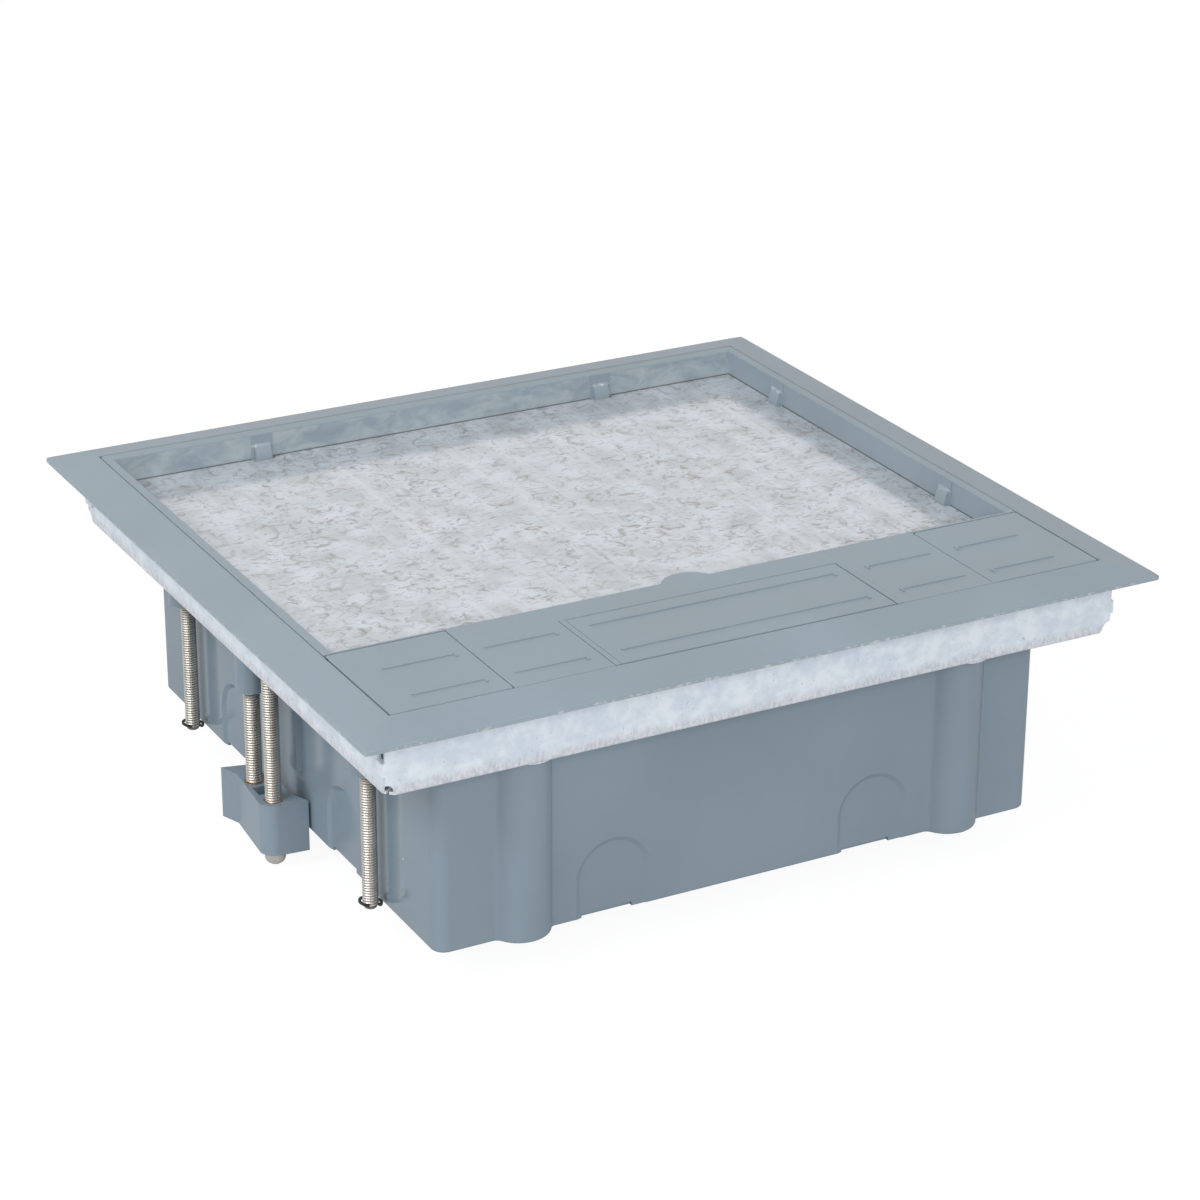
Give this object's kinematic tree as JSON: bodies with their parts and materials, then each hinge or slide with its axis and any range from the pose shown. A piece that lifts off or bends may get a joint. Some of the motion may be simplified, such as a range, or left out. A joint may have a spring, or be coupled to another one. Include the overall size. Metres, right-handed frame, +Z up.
{
  "type": "floor socket box",
  "caption": "Floor socket box: grey trim frame with hinged carpet lid, lifting handle and cable flaps, galvanised skirt, moulded housing on height screws, claw clamps.",
  "frame": {"origin": "centre of the floor cut-out, in the plane of the floor that the flange lies on", "axes": "X along the front edge of the frame, Y from the cable flaps to the hinge, Z up"},
  "size_m": [0.3, 0.2842, 0.107],
  "materials": {
    "cover_plastic": "fine textured grey moulding, eased edges",
    "housing_plastic": "semi-gloss grey-blue moulding",
    "galvanised": "zinc spangle over rolled sheet",
    "screw_steel": "warm nickel-plated threads",
    "clip_steel": "blackened spring steel",
    "insert_brass": "turned brass"
  },
  "bodies": {
    "root": {"trim_frame": "cover_plastic", "skirt_front": "galvanised", "skirt_rear": "galvanised", "skirt_left": "galvanised", "skirt_right": "galvanised", "fixing_screws": "screw_steel", "guide_rods": "screw_steel"},
    "lid": {"lid_frame": "cover_plastic", "carpet_plate": "galvanised", "carpet_clips": "cover_plastic", "hinge_pins": "screw_steel", "lid_bridge": "cover_plastic", "handle_tray": "cover_plastic"},
    "handle": {"handle_panel": "cover_plastic"},
    "flap_left": {"cable_flap_left": "cover_plastic"},
    "flap_right": {"cable_flap_right": "cover_plastic"},
    "housing": {"housing": "housing_plastic", "lug_inserts": "insert_brass", "module_support_front": "housing_plastic", "module_support_middle": "housing_plastic", "module_support_rear": "housing_plastic", "support_screws": "screw_steel"},
    "height_screw_front_left": {"height_screw_front_left": "screw_steel", "retaining_clip_front_left": "clip_steel"},
    "height_screw_front_right": {"height_screw_front_right": "screw_steel", "retaining_clip_front_right": "clip_steel"},
    "height_screw_rear_left": {"height_screw_rear_left": "screw_steel", "retaining_clip_rear_left": "clip_steel"},
    "height_screw_rear_right": {"height_screw_rear_right": "screw_steel", "retaining_clip_rear_right": "clip_steel"},
    "clamp_screw_left": {"clamp_screw_left": "screw_steel"},
    "claw_left": {"claw_left": "housing_plastic", "claw_inserts_left": "insert_brass"},
    "clamp_screw_right": {"clamp_screw_right": "screw_steel"},
    "claw_right": {"claw_right": "housing_plastic", "claw_inserts_right": "insert_brass"}
  },
  "joints": [
    {"name": "lid_hinge", "type": "hinge", "parent": "root", "child": "lid", "pos_m": [0, 0.1153, 0.002], "axis": [-1, 0, 0], "range_deg": [0, 105]},
    {"name": "handle_pivot", "type": "hinge", "parent": "lid", "child": "handle", "pos_m": [0, -0.09, 0.00365], "axis": [-1, 0, 0], "range_deg": [0, 80]},
    {"name": "flap_left_pivot", "type": "hinge", "parent": "lid", "child": "flap_left", "pos_m": [-0.1129, -0.07935, 0.00365], "axis": [-1, 0, 0], "range_deg": [0, 90]},
    {"name": "flap_right_pivot", "type": "hinge", "parent": "lid", "child": "flap_right", "pos_m": [0.1129, -0.07935, 0.00365], "axis": [-1, 0, 0], "range_deg": [0, 90]},
    {"name": "housing_height", "type": "slide", "parent": "root", "child": "housing", "axis": [0, 0, 1], "range_m": [-0.03, 0]},
    {"name": "height_screw_front_left_turn", "type": "hinge", "parent": "root", "child": "height_screw_front_left", "pos_m": [-0.12095, -0.0785, -0.0207], "axis": [0, 0, -1], "range_deg": [-13500, 0]},
    {"name": "height_screw_front_right_turn", "type": "hinge", "parent": "root", "child": "height_screw_front_right", "pos_m": [0.12095, -0.0785, -0.0207], "axis": [0, 0, -1], "range_deg": [-13500, 0]},
    {"name": "height_screw_rear_left_turn", "type": "hinge", "parent": "root", "child": "height_screw_rear_left", "pos_m": [-0.12095, 0.0785, -0.0207], "axis": [0, 0, -1], "range_deg": [-13500, 0]},
    {"name": "height_screw_rear_right_turn", "type": "hinge", "parent": "root", "child": "height_screw_rear_right", "pos_m": [0.12095, 0.0785, -0.0207], "axis": [0, 0, -1], "range_deg": [-13500, 0]},
    {"name": "clamp_screw_left_turn", "type": "hinge", "parent": "root", "child": "clamp_screw_left", "pos_m": [-0.12745, -0.0127, -0.0207], "axis": [0, 0, -1], "range_deg": [0, 13500]},
    {"name": "claw_left_travel", "type": "slide", "parent": "root", "child": "claw_left", "axis": [0, 0, 1], "range_m": [0, 0.03]},
    {"name": "clamp_screw_right_turn", "type": "hinge", "parent": "root", "child": "clamp_screw_right", "pos_m": [0.12745, 0.0127, -0.0207], "axis": [0, 0, -1], "range_deg": [0, 13500]},
    {"name": "claw_right_travel", "type": "slide", "parent": "root", "child": "claw_right", "axis": [0, 0, 1], "range_m": [0, 0.03]}
  ],
  "couplings": [
    {"joint": "height_screw_front_left_turn", "follows": "housing_height", "rad_per_m": 7854},
    {"joint": "height_screw_front_right_turn", "follows": "housing_height", "rad_per_m": 7854},
    {"joint": "height_screw_rear_left_turn", "follows": "housing_height", "rad_per_m": 7854},
    {"joint": "height_screw_rear_right_turn", "follows": "housing_height", "rad_per_m": 7854},
    {"joint": "clamp_screw_left_turn", "follows": "claw_left_travel", "rad_per_m": 7854},
    {"joint": "clamp_screw_right_turn", "follows": "claw_right_travel", "rad_per_m": 7854}
  ]
}
